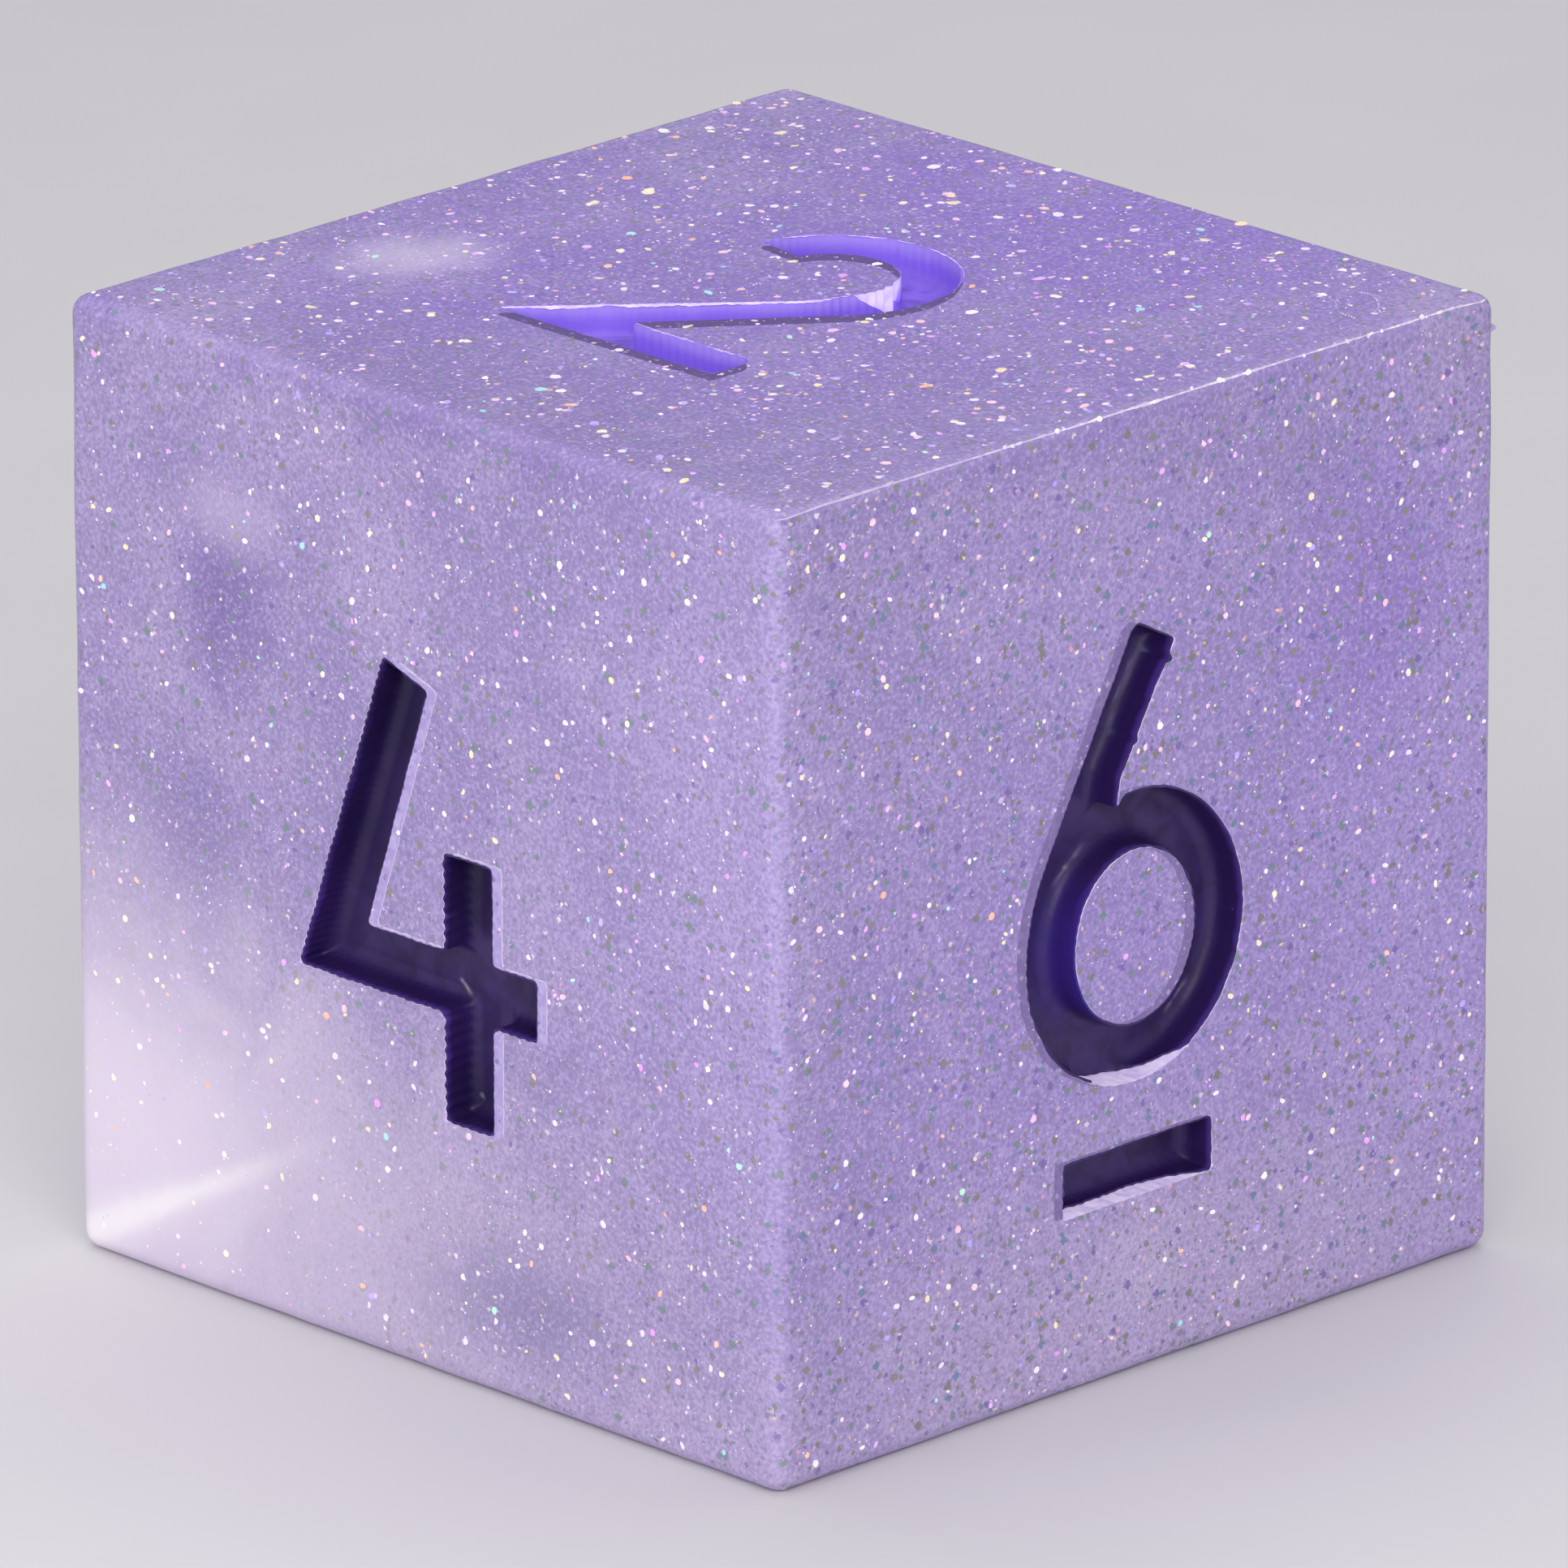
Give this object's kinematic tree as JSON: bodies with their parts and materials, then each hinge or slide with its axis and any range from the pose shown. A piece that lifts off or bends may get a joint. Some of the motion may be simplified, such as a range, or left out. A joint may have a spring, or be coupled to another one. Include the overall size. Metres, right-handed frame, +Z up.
{
  "type": "six-sided die",
  "caption": "Cube-shaped numbered die cast in glitter resin, with engraved and painted numerals and rounded edges.",
  "frame": {"origin": "middle of the face the die rests on, which carries the numeral 5", "axes": "+Z up through the face with the numeral 2; -Y out of the face with the underlined numeral 6; -X out of the face with the numeral 4"},
  "size_m": [0.016, 0.016, 0.016],
  "materials": {
    "glitter_resin": "satin translucent lavender resin full of fine glitter",
    "numeral_paint": "dark purple paint with a soft sheen"
  },
  "bodies": {
    "root": {"die_body": "glitter_resin", "numeral_1_paint": "numeral_paint", "numeral_2_paint": "numeral_paint", "numeral_3_paint": "numeral_paint", "numeral_4_paint": "numeral_paint", "numeral_5_paint": "numeral_paint", "numeral_6_paint": "numeral_paint", "numeral_6_underline_paint": "numeral_paint"}
  },
  "joints": []
}
